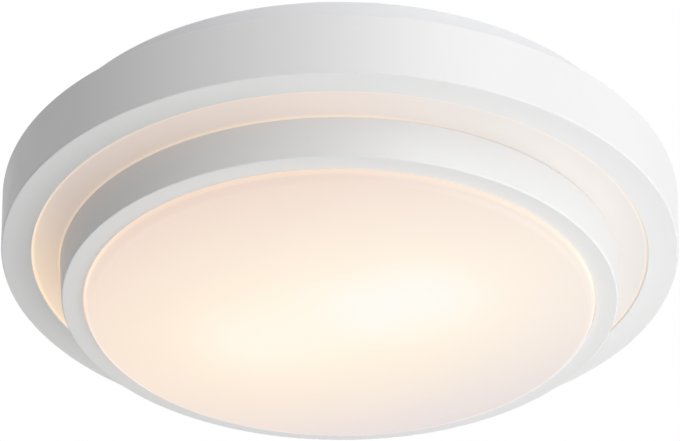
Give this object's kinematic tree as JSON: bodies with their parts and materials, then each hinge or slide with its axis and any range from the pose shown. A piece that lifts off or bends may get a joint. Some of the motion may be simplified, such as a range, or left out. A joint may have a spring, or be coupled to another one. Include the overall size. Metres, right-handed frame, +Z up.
{
  "type": "outdoor ceiling light",
  "caption": "Round white ceiling light with a drum rim, a glowing opal strip, a lower white ring and a large opal disc; the cover pulls off over screw lamps.",
  "frame": {"origin": "middle of the pan's back face, which lies against the ceiling, between the two ceiling screws", "axes": "+Z up into the ceiling, the light hangs towards -Z, the lamps lie along X and the ceiling screws along Y"},
  "size_m": [0.353, 0.353, 0.0845],
  "materials": {
    "white_plastic": "satin",
    "foam": "matt",
    "grommet_rubber": "matt",
    "spring_steel": "satin",
    "zinc_steel": "zinc plated",
    "terminal_plastic": "satin",
    "brass": "bright",
    "white_lacquer": "satin lacquer",
    "opal": "opal satin",
    "lamp_opal": "opal",
    "lamp_plastic": "satin",
    "board": "white coated",
    "nickel": "bright",
    "insulator": "gloss",
    "solder": "satin",
    "holder_ceramic": "unglazed",
    "brown_wire": "satin",
    "blue_wire": "satin"
  },
  "bodies": {
    "base": {"base_plate": "white_plastic", "pan_skirt": "white_plastic", "ceiling_gasket": "foam", "cover_seal": "foam", "cable_grommet": "grommet_rubber", "spring_clips": "spring_steel", "clip_rivets": "zinc_steel", "terminal_block": "terminal_plastic", "terminal_inserts": "brass", "terminal_screws": "zinc_steel", "terminal_fixing_screw": "zinc_steel", "bracket_screws": "zinc_steel", "bracket_right": "zinc_steel", "holder_screws_right": "zinc_steel", "holder_shell_right": "holder_ceramic", "holder_back_right": "holder_ceramic", "lamp_sleeve_right": "nickel", "holder_contact_right": "brass", "wire_upper_right": "brown_wire", "wire_lower_right": "blue_wire", "bracket_left": "zinc_steel", "holder_screws_left": "zinc_steel", "holder_shell_left": "holder_ceramic", "holder_back_left": "holder_ceramic", "lamp_sleeve_left": "nickel", "holder_contact_left": "brass", "wire_upper_left": "brown_wire", "wire_lower_left": "blue_wire"},
    "cover": {"outer_drum": "white_lacquer", "strip_diffuser": "opal", "disc_diffuser": "opal", "inner_ring": "white_lacquer", "ring_screws": "zinc_steel", "diffuser_tabs": "spring_steel"},
    "lamp_contact_right": {"bulb_tip_right": "solder"},
    "lamp_right": {"bulb_dome_right": "lamp_opal", "bulb_housing_right": "lamp_plastic", "bulb_board_right": "board", "bulb_cap_right": "nickel", "bulb_insulator_right": "insulator"},
    "lamp_contact_left": {"bulb_tip_left": "solder"},
    "lamp_left": {"bulb_dome_left": "lamp_opal", "bulb_housing_left": "lamp_plastic", "bulb_board_left": "board", "bulb_cap_left": "nickel", "bulb_insulator_left": "insulator"}
  },
  "joints": [
    {"name": "cover_slide", "type": "slide", "parent": "base", "child": "cover", "axis": [0, 0, -1], "range_m": [0, 0.12], "deforming": ["spring_clips"]},
    {"name": "lamp_travel_right", "type": "slide", "parent": "base", "child": "lamp_contact_right", "axis": [-1, 0, 0], "range_m": [0, 0.0182]},
    {"name": "lamp_turn_right", "type": "hinge", "parent": "lamp_contact_right", "child": "lamp_right", "pos_m": [0.11, 0, -0.036], "axis": [-1, 0, 0], "range_deg": [0, 1800]},
    {"name": "lamp_travel_left", "type": "slide", "parent": "base", "child": "lamp_contact_left", "axis": [1, 0, 0], "range_m": [0, 0.0182]},
    {"name": "lamp_turn_left", "type": "hinge", "parent": "lamp_contact_left", "child": "lamp_left", "pos_m": [-0.11, 0, -0.036], "axis": [1, 0, 0], "range_deg": [0, 1800]}
  ],
  "couplings": [
    {"joint": "lamp_travel_right", "follows": "lamp_turn_right", "m_per_rad": 0.00057614},
    {"joint": "lamp_travel_left", "follows": "lamp_turn_left", "m_per_rad": 0.00057614}
  ]
}
